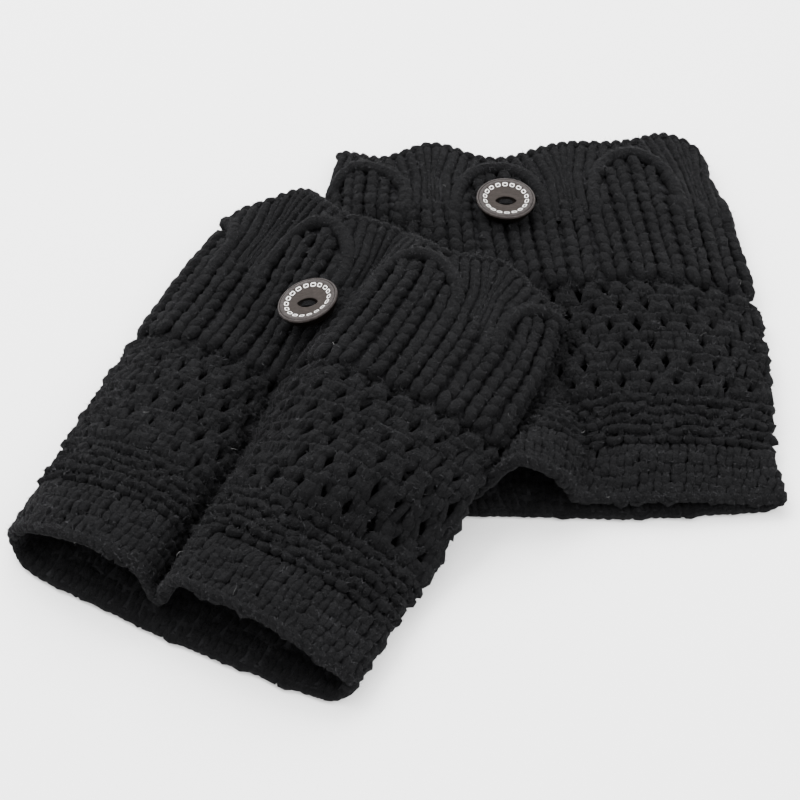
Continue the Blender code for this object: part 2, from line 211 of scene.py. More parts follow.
def liftOver(x, y):   # the front cuff climbs onto the rear one
    return cuffSize["lift"] * ease(x, *liftAcross) * ease(y, *liftAlong)


def pressUnder(x, y):   # 1 where the front cuff lies on the rear one
    turn = math.radians(frontCuff["heading"])
    dx = x - frontCuff["hemAt"][0]
    dy = y - frontCuff["hemAt"][1]
    across = dx * math.cos(turn) - dy * math.sin(turn)
    reach = dx * math.sin(turn) + dy * math.cos(turn) - past(frontCuff["topTrim"], across)
    return (1.0 - ease(across, *pressSide)) * (1.0 - ease(reach, *pressTop))


def clothFace(cuff, roundIt, along):   # the plain outer face at a share of the way round and a height
    roundIt, along = np.broadcast_arrays(np.asarray(roundIt, float), np.asarray(along, float))
    stations = cuff["stations"]
    grid = cuff["grid"]
    places = formGrid["places"]
    u = np.mod(roundIt, 1.0) * places
    v = np.clip((along - stations[0]) / (stations[1] - stations[0]), 0, len(stations) - 1.001)
    i = np.floor(u).astype(int)
    j = np.floor(v).astype(int)
    fu = (u - i)[..., None]
    fv = (v - j)[..., None]
    i = i % places
    after = (i + 1) % places
    low = grid[j, i] * (1 - fu) + grid[j, after] * fu
    high = grid[j + 1, i] * (1 - fu) + grid[j + 1, after] * fu
    flat = low * (1 - fv) + high * fv
    across = flat[..., 0]
    height = flat[..., 1]
    share = along / cuffSize["length"]
    below = ease(-height, -9.0, -1.0) * (1.0 - (across / 80.0) ** 2)
    hemPast = past(cuff["hemTrim"], across) - cuff["hemBow"] * below
    topPast = past(cuff["topTrim"], across)
    reach = along + hemPast * np.clip(1 - share, 0, 1) ** 3 + topPast * np.clip(share, 0, 1) ** 4
    turn = math.radians(cuff["heading"])
    sideways = across + cuff["lean"] * share
    x = cuff["hemAt"][0] + sideways * math.cos(turn) + reach * math.sin(turn)
    y = cuff["hemAt"][1] - sideways * math.sin(turn) + reach * math.cos(turn)
    if cuff["lifted"]:
        z = height + liftOver(x, y)
    else:
        z = height - pressUnder(x, y) * np.maximum(height - cuffSize["pressed"], 0.0)
    return np.stack([x, y, z], axis=-1)


def clothOut(cuff, roundIt, along):   # unit vectors out of the cloth
    aside, above = formGrid["steps"]
    over = clothFace(cuff, roundIt + aside, along) - clothFace(cuff, roundIt - aside, along)
    up = clothFace(cuff, roundIt, along + above) - clothFace(cuff, roundIt, along - above)
    return unit(np.cross(over, up)) * cuff["outSign"]


def freeShare(cuff, points, out):   # how freely the relief may stand: 0 where the cloth rests flat
    share = ease(out[..., 2], -0.75, -0.15)
    if not cuff["lifted"]:
        share = share * (1.0 - cuffSize["pressedRise"] * pressUnder(points[..., 0], points[..., 1]))
    return share


for cuff in (frontCuff, rearCuff):
    layOut(cuff)
    cuff["outSign"] = 1.0
    crown = clothOut(cuff, np.array([0.2]), np.array([90.0]))
    cuff["outSign"] = 1.0 if crown[0, 2] > 0 else -1.0
print("cuffs: forms laid out")


def topEdge(cuff, roundIt):   # the scalloped top, highest over each fan of pleats
    turns = cuffSize["arches"] * (roundIt - cuff["fanAt"] / cuffSize["around"])
    return cuffSize["length"] + cuffSize["scallop"] * np.cos(2 * math.pi * turns)


arch = {
    "half": 17.5,
    "foot": 150.0,
    "crown": 171.5,
    "rise": 2.2,
    "halfWidth": 2.9,
    "groove": 1.0,
    "grooveIn": 5.0,
    "ends": (136.0, 148.0),
    # the strand that lies on it
    "points": 84,
    "bend": 0.72,         # share of the strand that is bent, the rest is its two legs
    "legs": 15.0,
    "lies": 0.2,
    "sinks": 2.9,
    "radius": 3.05,
}
solidRibs = {"base": 0.4, "rise": 1.9, "lessAbove": 0.4}


def archMiddle(cuff):
    return cuff["fanAt"] / cuffSize["around"] + 0.5 / cuffSize["arches"]


def pastArch(cuff, roundIt, along):   # how far outside the nearest arch's crest line, less than 0 inside
    turns = (roundIt - archMiddle(cuff)) * cuffSize["arches"]
    aside = (turns - np.round(turns)) * cuffSize["around"] / cuffSize["arches"]
    height = arch["crown"] - arch["foot"]
    above = np.maximum(along - arch["foot"], 0.0) / height
    return (np.hypot(aside / arch["half"], above) - 1.0) * 0.5 * (arch["half"] + height)


def bandRise(cuff, roundIt, along):   # the solid band's own relief, which the buttons rest on
    beyond = pastArch(cuff, roundIt, along)
    cable = arch["rise"] * np.exp(-((beyond / arch["halfWidth"]) ** 2))
    groove = arch["groove"] * np.exp(-(((beyond + arch["grooveIn"]) / arch["halfWidth"]) ** 2))
    onArch = ease(along, *arch["ends"])
    ribs = solidRibs["rise"] * (0.5 + 0.5 * np.cos(2 * math.pi * cuffSize["ribs"] * roundIt))
    ribs = ribs * (1.0 - solidRibs["lessAbove"] * ease(beyond, 0.0, arch["halfWidth"]) * onArch)
    plain = 1.0 - onArch * np.exp(-((beyond / arch["halfWidth"]) ** 2))
    return solidRibs["base"] + ribs * plain + (cable - groove) * onArch


def slowWave(seed, roundIt, along, reach):   # a gentle unevenness, the same all round the seam
    waves = np.random.default_rng(seed)
    total = np.zeros(np.broadcast(roundIt, along).shape)
    for k in range(7):
        turns = waves.integers(1, 14)
        rise = waves.uniform(-0.12, 0.12)
        phase = waves.uniform(0, 2 * math.pi)
        total = total + np.sin(2 * math.pi * turns * roundIt + rise * along + phase)
    return reach * total / 3.0


def newObject(name, data):
    thing = bpy.data.objects.new(name, data)
    bpy.context.scene.collection.objects.link(thing)
    return thing


def meshFrom(name, vertices, faces, uvs=None):   # a piece from arrays of corners and of equal faces
    mesh = bpy.data.meshes.new(name)
    mesh.vertices.add(len(vertices))
    mesh.vertices.foreach_set("co", ((vertices - pairMiddle) * mm).astype(np.float32).ravel())
    mesh.loops.add(faces.size)
    mesh.loops.foreach_set("vertex_index", faces.astype(np.int32).ravel())
    mesh.polygons.add(len(faces))
    mesh.polygons.foreach_set("loop_start", np.arange(len(faces), dtype=np.int32) * faces.shape[1])
    mesh.update()
    if uvs is not None:
        layer = mesh.uv_layers.new(name="yarn")
        layer.data.foreach_set("uv", uvs.astype(np.float32).ravel())
    mesh.shade_smooth()
    return newObject(name, mesh)


strand = {
    "woolly": 0.055,      # how uneven its round section is
    "finishLength": 10.0,    # of yarn to one repeat of the finish
    "napFrom": 0.2,       # how high on its side the nap starts
    "hollow": 0.3,        # share of a hollow that is left where the cloth rests flat
    "clear": 1.16,        # its middle's least height over the floor, for its radius
    "above": 0.05,
    "uneven": (0.65, 0.065),   # depth for the wobble, and thickness
}


def sweepYarn(paths, out, radius, sides, closed=True, keep=None):
    # paths is rows of points; gives vertices, quads and uvs of one round strand along each row
    rows, count = paths.shape[:2]
    if closed:
        ahead = np.roll(paths, -1, axis=1) - np.roll(paths, 1, axis=1)
        step = np.linalg.norm(np.roll(paths, -1, axis=1) - paths, axis=-1)
    else:
        ahead = np.gradient(paths, axis=1)
        step = np.linalg.norm(np.diff(paths, axis=1, append=paths[:, -1:]), axis=-1)
    along = unit(ahead)
    side = unit(np.cross(along, out))
    up = np.cross(side, along)
    angle = 2 * math.pi * np.arange(sides) / sides
    woolly = 1.0 + np.random.default_rng(rows * count).normal(0, strand["woolly"], (rows, count, sides, 1))
    ring = (
        paths[:, :, None, :]
        + radius[:, :, None, None] * woolly * (
            np.cos(angle)[:, None] * side[:, :, None, :] + np.sin(angle)[:, None] * up[:, :, None, :]
        )
    )
    index = np.arange(rows * count * sides).reshape(rows, count, sides)
    if closed:
        ahead = np.roll(index, -1, axis=1)
        here = index
    else:
        ahead = index[:, 1:]
        here = index[:, :-1]
    nextSide = np.roll(here, -1, axis=2)
    aheadSide = np.roll(ahead, -1, axis=2)
    quads = np.stack([here, nextSide, aheadSide, ahead], axis=-1)
    run = np.concatenate([np.zeros((rows, 1)), np.cumsum(step, axis=1)], axis=1)
    span = quads.shape[1]
    run = run / strand["finishLength"]
    start = np.broadcast_to(run[:, :span, None], quads.shape[:3])
    end = np.broadcast_to(run[:, 1:span + 1, None], quads.shape[:3])
    low = np.broadcast_to(np.arange(sides) / sides, quads.shape[:3])
    high = low + 1.0 / sides
    uvs = np.stack([
        np.stack([start, low], -1), np.stack([start, high], -1),
        np.stack([end, high], -1), np.stack([end, low], -1),
    ], axis=3)
    shown = np.ones((rows, count), bool) if keep is None else keep
    quads = quads[shown[:, :span]]
    uvs = uvs[shown[:, :span]]
    # where nap can grow: the outer half of each strand, with the way that it faces
    facing = ring - paths[:, :, None, :]
    outer = [k for k in range(sides) if math.sin(angle[k]) > strand["napFrom"]]
    nap = np.concatenate([ring[:, :, outer], facing[:, :, outer]], axis=-1)[shown].reshape(-1, 6)
    return ring.reshape(-1, 3), quads.reshape(-1, 4), uvs.reshape(-1, 2), nap


def dropUnused(vertices, faces):   # leaves only the corners that the faces use
    used = np.unique(faces)
    renumber = np.zeros(len(vertices), int)
    renumber[used] = np.arange(len(used))
    return vertices[used], renumber[faces]


def gather(cuff, parts):   # several strands as one mesh's arrays; their nap places are kept for the fuzz
    vertices = []
    quads = []
    uvs = []
    count = 0
    for v, q, t, _ in parts:
        v, q = dropUnused(v, q)
        vertices.append(v)
        quads.append(q + count)
        uvs.append(t)
        count += len(v)
    cuff.setdefault("nap", []).append(np.concatenate([nap for _, _, _, nap in parts]))
    return np.concatenate(vertices), np.concatenate(quads), np.concatenate(uvs)


def mirrored(rows, middle):   # a stitch's left half, with the row at its middle last, then its mirror image
    return rows + tuple((2 * middle - across, *rest) for across, *rest in rows[-2::-1])


def smoothRepeat(template, samples):
    # one repeat of a stitch pattern as an even run of points that joins the next repeat
    rows = np.array(template, float)
    wrapped = np.concatenate([rows[-3:], rows, rows[:4]])
    wrapped[:3, 0] -= 1.0
    wrapped[-4:, 0] += 1.0
    knots = np.arange(len(wrapped), dtype=float)
    at = np.linspace(3.0, 3.0 + len(rows), samples * 8, endpoint=False)
    curve = through(knots, wrapped, at)
    scale = np.array([10.0, 5.0, 1.0])
    run = np.concatenate([[0.0], np.cumsum(np.linalg.norm(np.diff(curve[:, :3] * scale, axis=0), axis=1))])
    closing = np.linalg.norm((curve[0, :3] + [1, 0, 0] - curve[-1, :3]) * scale)
    even = np.linspace(0.0, run[-1] + closing, samples, endpoint=False)
    return np.stack([np.interp(even, run, curve[:, k]) for k in range(4)], axis=1)


def settle(cuff, u, v, depth, radius):
    # places yarn on the cloth: depth is out of the plain face, and the relief sinks where it rests flat
    points = clothFace(cuff, u, v)
    out = clothOut(cuff, u, v)
    free = freeShare(cuff, points, out)
    resting = -radius + strand["hollow"] * np.minimum(depth, 0.0)
    points = points + out * (free * depth + (1 - free) * resting)[..., None]
    points[..., 2] = np.maximum(points[..., 2], strand["clear"] * radius + strand["above"])
    return points, out


def knitCourses(cuff, template, repeats, samples, lines, rowHeight, seed, wobble,
                push=None, mask=None, relief=None, sides=6):
    # rounds of yarn: lines gives each course's height at a place round, rowHeight the stitch's own height,
    # and wobble, in mm, how uneven it is
    unitCell = smoothRepeat(template, samples)
    u = ((np.arange(repeats)[:, None] + unitCell[None, :, 0]) / repeats).ravel()
    alongCell = np.tile(unitCell[:, 1], repeats)
    depthCell = np.tile(unitCell[:, 2], repeats)
    radiusCell = np.tile(unitCell[:, 3], repeats)
    jitter = np.random.default_rng(seed)
    deeper, thicker = strand["uneven"]
    rows = []
    for line in lines:
        knots = jitter.normal(0, 1, (repeats * 2, 4))
        knots = np.concatenate([knots, knots[:1]])
        places = np.arange(repeats * 2 + 1) / (repeats * 2)
        uneven = np.stack([np.interp(np.mod(u, 1.0), places, knots[:, k]) for k in range(4)], axis=1)
        base = line(u) + slowWave(seed + 3, u, 0.0, 0.5)
        v = base + alongCell * rowHeight + uneven[:, 1] * wobble
        a = u + (uneven[:, 0] * wobble + slowWave(seed + 5, u, v, 0.9)) / cuffSize["around"]
        if push is not None:
            a, v = push(a, v)
        depth = depthCell + uneven[:, 2] * wobble * deeper
        rows.append((a, v, depth, radiusCell * (1.0 + thicker * uneven[:, 3])))
    u, v, depth, radius = np.array(rows).transpose(1, 0, 2)
    if relief is not None:
        depth = depth + relief(u, v)
    keep = None if mask is None else mask(u, v)
    points, out = settle(cuff, u, v, depth, radius)
    return sweepYarn(points, out, radius, sides, keep=keep)


def level(height):   # an edge or a course at the same height all round
    return lambda u: np.full_like(u, height)


def evenCourses(first, height, count):
    return [level(first + height * k) for k in range(count)]


def strandAlong(cuff, u, v, depth, radius, sides=8, closed=True, keep=None):
    points, out = settle(cuff, u[None], v[None], depth[None], radius[None])
    return sweepYarn(points, out, radius[None], sides, closed, None if keep is None else keep[None])


def nodeMaterial(name):
    material = bpy.data.materials.new(name)
    material.use_nodes = True
    tree = material.node_tree
    return material, tree, tree.nodes["Principled BSDF"]


def setSockets(node, values):
    for key, value in values.items():
        node.inputs[key].default_value = value
    return node


def addNode(tree, kind, **sockets):
    return setSockets(tree.nodes.new(kind), sockets)


def noiseOn(tree, source, **sockets):   # a noise read at the places that source gives
    node = addNode(tree, "ShaderNodeTexNoise", **sockets)
    tree.links.new(source, node.inputs["Vector"])
    return node.outputs


def mapped(tree, source, scale, turn):   # the places that source gives, stretched and turned
    node = addNode(tree, "ShaderNodeMapping", Scale=scale, Rotation=(0.0, 0.0, math.radians(turn)))
    tree.links.new(source, node.inputs["Vector"])
    return node.outputs["Vector"]


def mixed(tree, factor, first, second):
    node = addNode(tree, "ShaderNodeMix", Factor=factor)
    tree.links.new(first, node.inputs["A"])
    tree.links.new(second, node.inputs["B"])
    return node.outputs["Result"]


def ramp(tree, source, stops):
    node = tree.nodes.new("ShaderNodeValToRGB")
    while len(node.color_ramp.elements) < len(stops):
        node.color_ramp.elements.new(0.5)
    for element, (place, colour) in zip(node.color_ramp.elements, stops):
        element.position = place
        element.color = (*colour, 1.0)
    tree.links.new(source, node.inputs["Fac"])
    return node.outputs["Color"]


yarnFinish = {
    "dark": (0.0020, 0.0020, 0.0022),
    "mid": (0.0037, 0.0037, 0.0040),
    "light": (0.0088, 0.0088, 0.0095),
    "sockets": {
        "Roughness": 0.95,
        "Specular IOR Level": 0.05,
        "Sheen Weight": 0.05,
        "Sheen Roughness": 0.6,
        "Sheen Tint": (0.25, 0.25, 0.265, 1.0),
    },
    "tones": ((0.34, "dark"), (0.52, "mid"), (0.74, "light")),
    "cloudShare": 0.42,
    "fibreLay": 24.0,       # slant of the fibres round the strand, in degrees
    "liningPaintedLight": 2.2,     # the lining's tone for the yarn's: painted light, lighter than the yarn, that lifts the shade in the grooves, the eyelets and inside the tubes
    "purlBend": 0.16,       # how far its rows of purl bumps wander
}


def woolTone(tree, shader, fine, cloud, shade):   # dark and light flecks, in slow clouds
    blend = mixed(tree, yarnFinish["cloudShare"], fine, cloud)
    stops = [(place, tuple(shade * c for c in yarnFinish[tone])) for place, tone in yarnFinish["tones"]]
    tree.links.new(ramp(tree, blend, stops), shader.inputs["Base Color"])
    setSockets(shader, yarnFinish["sockets"])


def bumpOver(tree, height, strength, distance, under=None):   # a distance below 0 sinks what is high
    bump = addNode(tree, "ShaderNodeBump", Strength=strength, Distance=abs(distance))
    bump.invert = distance < 0
    tree.links.new(height, bump.inputs["Height"])
    if under is not None:
        tree.links.new(under, bump.inputs["Normal"])
    return bump.outputs["Normal"]


def yarnMaterial():   # soft spun wool: fibres lie slantwise along the strand, with fluff over them
    material, tree, shader = nodeMaterial("black_wool")
    place = tree.nodes.new("ShaderNodeTexCoord")
    lay = mapped(tree, place.outputs["UV"], (4.0, 16.0, 1.0), yarnFinish["fibreLay"])
    fibre = noiseOn(tree, lay, Scale=1.5, Detail=4.0, Roughness=0.65, Distortion=0.4)
    fluff = noiseOn(tree, place.outputs["Object"], Scale=1200.0, Detail=4.0, Roughness=0.75)
    clump = noiseOn(tree, place.outputs["Object"], Scale=520.0, Detail=3.0, Roughness=0.6)
    cloud = noiseOn(tree, place.outputs["Object"], Scale=70.0, Detail=3.0, Roughness=0.6)
    woolTone(tree, shader, fluff["Fac"], cloud["Fac"], 1.0)
    normal = bumpOver(tree, clump["Fac"], 1.0, 0.0020)
    normal = bumpOver(tree, fibre["Fac"], 0.6, 0.0004, normal)
    normal = bumpOver(tree, fluff["Fac"], 1.0, 0.0010, normal)
    tree.links.new(normal, shader.inputs["Normal"])
    return material


def liningMaterial():   # the inside of the knitting: soft rows of purl bumps, in the yarn's tones made lighter as painted light
    material, tree, shader = nodeMaterial("black_wool_lining_painted_light")
    place = tree.nodes.new("ShaderNodeTexCoord")
    bend = noiseOn(tree, place.outputs["UV"], Scale=0.9, Detail=2.0)
    shift = addNode(tree, "ShaderNodeMix", Factor=yarnFinish["purlBend"])
    shift.data_type = "VECTOR"
    tree.links.new(place.outputs["UV"], shift.inputs[4])
    tree.links.new(bend["Color"], shift.inputs[5])
    purl = addNode(tree, "ShaderNodeTexVoronoi", Scale=1.2, Randomness=0.45)
    tree.links.new(shift.outputs[1], purl.inputs["Vector"])
    fluff = noiseOn(tree, place.outputs["Object"], Scale=1100.0, Detail=4.0, Roughness=0.75)
    cloud = noiseOn(tree, place.outputs["Object"], Scale=70.0, Detail=3.0, Roughness=0.6)
    # painted light: the lining takes the yarn's tones made lighter, so the grooves, the eyelets and the
    # inside of the tubes look less shaded
    woolTone(tree, shader, fluff["Fac"], cloud["Fac"], yarnFinish["liningPaintedLight"])
    normal = bumpOver(tree, purl.outputs["Distance"], 1.0, -0.0022)
    normal = bumpOver(tree, fluff["Fac"], 0.9, 0.0005, normal)
    tree.links.new(normal, shader.inputs["Normal"])
    return material


yarn = yarnMaterial()
lining = liningMaterial()
print("cuffs: wool finish made")


def finishPiece(piece, material, nodes=()):
    if material:
        piece.data.materials.append(material)
    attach(piece, "root")
    if nodes:
        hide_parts(*nodes)


def finishPart(cuff, part, shell, strands):   # the yarn over a part's cloth, and the finish of both pieces
    knit = meshFrom(cuff["name"] + part + "Yarn", *gather(cuff, strands))
    finishPiece(shell, lining)
    finishPiece(knit, yarn, [cuff["nodes"] + "_" + part.lower()])


shellBuild = {
    "outerDepth": -1.6,
    "restingDepth": -2.5,     # the same where the cloth lies flat
    "innerDepth": -3.0,
    "thinnest": 0.9,
    "eyeletRadius": 2.4,
    "eyeletSquash": 0.85,     # its width for its length
    "stitchesRound": 60.0,
    "stitchDeep": 4.5,
    "inset": 0.4,             # from a seam
    "edgeInset": 0.8,         # from the hem's edge and the top edge
    "cells": 150,
}


def clothShell(cuff, part, low, high, cells, rows, holes=None, relief=None):
    # a thin closed tube of cloth between two heights; low and high give a height at a place round
    roundIt = np.arange(cells) / cells
    share = np.linspace(0.0, 1.0, rows + 1)[:, None]
    along = low(roundIt)[None, :] * (1 - share) + high(roundIt)[None, :] * share
    u = np.broadcast_to(roundIt[None, :], along.shape)
    face = clothFace(cuff, u, along)
    out = clothOut(cuff, u, along)
    free = freeShare(cuff, face, out)
    depth = shellBuild["outerDepth"] * free + shellBuild["restingDepth"] * (1 - free)
    if relief is not None:
        depth = depth + free * relief(u, along)
    outer = face + out * depth[..., None]
    inner = face + out * np.minimum(shellBuild["innerDepth"], depth - shellBuild["thinnest"])[..., None]
    inner[..., 2] = np.maximum(inner[..., 2], shellBuild["thinnest"])
    vertices = np.concatenate([outer.reshape(-1, 3), inner.reshape(-1, 3)])
    index = np.arange(along.size).reshape(along.shape)
    nxt = np.roll(index, -1, axis=1)
    keep = np.ones((rows, cells), bool)
    if holes is not None:
        midU = (roundIt + 0.5 / cells)[None, :]
        midV = 0.5 * (along[1:] + along[:-1])
        for holeU, holeV, _ in holes:
            near = (midU - holeU + 0.5) % 1.0 - 0.5
            size = (near * cuffSize["around"]) ** 2 + (shellBuild["eyeletSquash"] * (midV - holeV)) ** 2
            keep &= size > shellBuild["eyeletRadius"] ** 2
    quads = np.stack([index[:-1], nxt[:-1], nxt[1:], index[1:]], axis=-1)[keep]
    count = along.size
    inside = quads[:, ::-1] + count
    # every edge of the kept cells that only one cell has gets a wall between the two faces
    edges = np.concatenate([quads[:, [k, (k + 1) % 4]] for k in range(4)])
    both = {}
    for a, b in edges.tolist():
        both[(a, b)] = True
    rims = [(b, a, a + count, b + count) for a, b in both if (b, a) not in both]
    quads = np.concatenate([quads, inside, np.array(rims)])
    if cuff["outSign"] < 0:
        quads = quads[:, ::-1]
    # flat places counted in stitches; the last column runs on instead of jumping back
    loops = quads % count
    column = loops % cells
    column = np.where(column.max(axis=1, keepdims=True) - column > cells // 2, column + cells, column)
    height = along.ravel()[loops]
    flatUv = np.stack([
        column / cells * shellBuild["stitchesRound"], height / shellBuild["stitchDeep"],
    ], axis=-1)
    return meshFrom(cuff["name"] + part, *dropUnused(vertices, quads), flatUv.reshape(-1, 2))


ribBand = {
    "rowHeight": 5.4,
    "firstRow": 104.3,
    "rows": 12,
    "samples": 22,
    "archFrom": 147.0,    # above it, ribs go on only inside the arches
    "inArch": -3.9,
    "wobble": 0.3,
    "clothRows": 30,
    # across a rib (0 to 1), up a row, out of the face, thickness: two legs of a V, then the sunk purl
    "stitch": mirrored((
        (-0.360, -0.24, -2.2, 1.20),
        (-0.155, -0.20, -1.0, 2.00),
        (-0.165, 0.14, -0.15, 2.40),
        (-0.215, 0.52, 0.10, 2.60),
        (-0.260, 0.92, -0.30, 2.35),
        (-0.215, 1.22, -1.2, 1.80),
        (0.000, 1.32, -1.5, 1.40),
    ), 0.0) + ((0.500, 0.12, -2.3, 1.25),),
}

pleats = {
    "each": 12,           # in each fan between two arches
    "points": 36,
    "foot": 137.0,
    "rises": 11.0,        # length over which a pleat comes up out of the ribs
    "fill": 0.52,         # thickness for the room between two pleats
    "thickest": 2.2,
    "depth": -0.45,
    "pull": 0.66,         # towards the middle of the fan
    "pullOver": 34.0,
    "uneven": 0.07,
    "endsBelow": 2.0,
    "swell": (0.07, 5.6),    # how much, and the length of one
    "from": 1.8,          # how deep its foot lies under the rest
    "tucks": 0.7,         # how far its end sinks
    "tucksFrom": 0.9,     # share of its length
    "clear": 1.3,         # of an arch's crest line
    "padding": 1.1,       # how much higher the cloth lies under them
    "paddedOver": (146.0, 154.0),
}
bandEdge = {
    "points": 576,
    "below": 1.7,
    "lies": -0.75,
    "radius": 1.8,
    "bead": (0.25, 0.2, 0.22),   # its swing up, out and in thickness
}


def fanPleats(cuff):   # long soft pleats that spread from between two arches to the top edge
    fan = cuff["fanAt"] / cuffSize["around"]
    arches = cuffSize["arches"]
    uneven = np.random.default_rng(23)
    share = np.linspace(0.0, 1.0, pleats["points"])
    parts = []
    for k in range(arches * pleats["each"]):
        start = fan + (k + 0.5 + uneven.normal(0, pleats["uneven"])) / (arches * pleats["each"])
        top = float(topEdge(cuff, np.array(start))) - pleats["endsBelow"]
        v = pleats["foot"] + (top - pleats["foot"]) * share
        below = cuffSize["length"] + cuffSize["scallop"] - v
        pull = np.clip(below / pleats["pullOver"], 0.0, pleats["pull"])
        turn = 2 * math.pi * arches * (start - fan)
        u = start - pull * math.sin(turn) / (2 * math.pi * arches)
        room = cuffSize["around"] / (arches * pleats["each"]) * (1.0 - pull * math.cos(turn))
        swell, length = pleats["swell"]
        swell = 1.0 + swell * np.sin(2 * math.pi * v / length + uneven.uniform(0, 6.3))
        radius = np.minimum(room * pleats["fill"], pleats["thickest"]) * swell
        risen = ease(v, pleats["foot"], pleats["foot"] + pleats["rises"])
        depth = pleats["depth"] + 0.3 * uneven.normal() * (1 - share) - pleats["from"] * (1 - risen)
        depth = depth - pleats["tucks"] * ease(share, pleats["tucksFrom"], 1.0)
        u = u + slowWave(60 + k, np.array(start), v, 0.35) / cuffSize["around"]
        free = pastArch(cuff, u, v) > pleats["clear"]
        parts.append(strandAlong(cuff, u, v, depth, radius, sides=7, closed=False, keep=free))
    return parts


def archStrands(cuff):   # each arch is one thick soft strand that rises out of a rib and sinks into another
    parts = []
    run = np.linspace(-1.0, 1.0, arch["points"])
    turn = np.clip(run / arch["bend"], -1.0, 1.0) * 0.5 * math.pi
    legs = np.maximum(np.abs(run) - arch["bend"], 0.0) / (1.0 - arch["bend"])
    for k in range(cuffSize["arches"]):
        aside = arch["half"] * np.sin(turn) + slowWave(80 + k, run, turn * 5.0, 0.5)
        along = arch["foot"] + (arch["crown"] - arch["foot"]) * np.cos(turn) - arch["legs"] * legs
        depth = arch["lies"] - arch["sinks"] * ease(legs, 0.35, 1.0)
        u = archMiddle(cuff) + k / cuffSize["arches"] + aside / cuffSize["around"]
        radius = arch["radius"] + slowWave(90 + k, run, turn * 8.0, 0.16)
        parts.append(strandAlong(cuff, u, along, depth, radius, closed=False))
    return parts


def makeBand(cuff):
    low = cuffSize["bandFrom"] + shellBuild["inset"]

    def padded(u, v):   # the cloth lies higher under the pleats
        return pleats["padding"] * ease(pastArch(cuff, u, v), 0.5, 4.0) * ease(v, *pleats["paddedOver"])

    shell = clothShell(
        cuff, "BandCloth", level(low), lambda u: topEdge(cuff, u) - shellBuild["edgeInset"],
        shellBuild["cells"], ribBand["clothRows"], relief=padded,
    )
    ribs = knitCourses(
        cuff, ribBand["stitch"], cuffSize["ribs"], ribBand["samples"],
        evenCourses(ribBand["firstRow"], ribBand["rowHeight"], ribBand["rows"]), ribBand["rowHeight"],
        seed=21, wobble=ribBand["wobble"],
        mask=lambda u, v: np.where(v > ribBand["archFrom"], pastArch(cuff, u, v) < ribBand["inArch"], True),
    )
    parts = [ribs] + fanPleats(cuff) + archStrands(cuff)
    # the cast-off edge
    turns = np.arange(bandEdge["points"]) / bandEdge["points"]
    beads = np.cos(2 * math.pi * cuffSize["arches"] * pleats["each"] * turns)
    v = topEdge(cuff, turns) - bandEdge["below"] + slowWave(24, turns, 0.0, 0.25)
    up, outward, thick = (swing * beads for swing in bandEdge["bead"])
    parts.append(strandAlong(cuff, turns, v + up, bandEdge["lies"] + outward, bandEdge["radius"] + thick))
    finishPart(cuff, "Band", shell, parts)


lace = {
    "eyeletsRound": 34,
    "rows": 12,
    "rowHeight": 4.8,
    "samples": 12,
    "wobble": 0.55,
    "openAcross": 3.45,
    "openAlong": 4.0,
    "smallest": 0.74,     # share of the opening that the tightest eyelet has
    "eyeletRows": (50.1, 59.7, 69.3, 78.9, 88.5, 98.1),
    "spread": (1.4, 2.6),    # sizes of an eyelet over which the yarn's shift fades out
    "cells": (204, 34),   # of the cloth behind it
    "tuckUnder": 3.0,     # how far the top of the lace sinks below the band
    "tuckOver": (5.5, 2.0),
    "puff": 0.75,         # how far the knitting between the eyelets swells
    "stitch": ((0.00, -0.26, -1.9, 1.25),) + mirrored((
        (0.24, -0.20, -1.4, 1.45),
        (0.33, 0.10, -0.40, 1.80),
        (0.28, 0.50, 0.45, 2.00),
        (0.22, 0.90, -0.50, 1.75),
        (0.30, 1.18, -1.7, 1.30),
        (0.50, 1.28, -2.2, 1.20),
    ), 0.5),
}


def eyeletPlaces(seed):   # each eyelet's centre, as a share round and a height along, and how open it is
    chance = np.random.default_rng(seed)
    found = []
    for row, along in enumerate(lace["eyeletRows"]):
        for k in range(lace["eyeletsRound"]):
            found.append((
                (k + 0.25 + 0.5 * (row % 2) + chance.normal(0, 0.03)) / lace["eyeletsRound"],
                along + chance.normal(0, 0.3),
                chance.uniform(lace["smallest"], 1.0),
            ))
    return np.array(found)


def openEyelets(holes):   # spreads the yarn round each eyelet
    around = cuffSize["around"]
    near, far = lace["spread"]

    def push(u, v):
        movedU = np.array(u, float)
        movedV = np.array(v, float)
        for holeU, holeV, wide in holes:
            dx = ((u - holeU + 0.5) % 1.0 - 0.5) * around
            dy = v - holeV
            size = np.sqrt((dx / lace["openAcross"]) ** 2 + (dy / lace["openAlong"]) ** 2) / wide
            moves = size < far
            if not moves.any():
                continue
            grown = (size ** 3 + 1.0) ** (1.0 / 3.0)
            fade = 1.0 - ease(size, near, far)
            shift = fade * (grown / np.maximum(size, 0.05) - 1.0)
            movedU = movedU + np.where(moves, dx * shift / around, 0.0)
            movedV = movedV + np.where(moves, dy * shift, 0.0)
        return movedU, movedV
    return push


def makeBody(cuff):
    low = cuffSize["hemTop"]
    high = cuffSize["bandFrom"]
    inset = shellBuild["inset"]
    holes = eyeletPlaces(33)

    def tuck(u, v):
        first, last = lace["tuckOver"]
        return -lace["tuckUnder"] * ease(v, high - first, high - last)

    def puffed(u, v):   # sinks at the eyelets and swells between them
        first, second = lace["eyeletRows"][:2]
        across = np.cos(2 * math.pi * (lace["eyeletsRound"] * u - 0.25))
        return tuck(u, v) - lace["puff"] * across * np.cos(math.pi * (v - first) / (second - first))

    shell = clothShell(
        cuff, "BodyCloth", level(low + inset), level(high - inset), *lace["cells"], holes, relief=tuck,
    )
    loops = knitCourses(
        cuff, lace["stitch"], 2 * lace["eyeletsRound"], lace["samples"],
        evenCourses(low + 0.3, lace["rowHeight"], lace["rows"]), lace["rowHeight"],
        seed=31, wobble=lace["wobble"], push=openEyelets(holes), relief=puffed,
    )
    finishPart(cuff, "Body", shell, [loops])


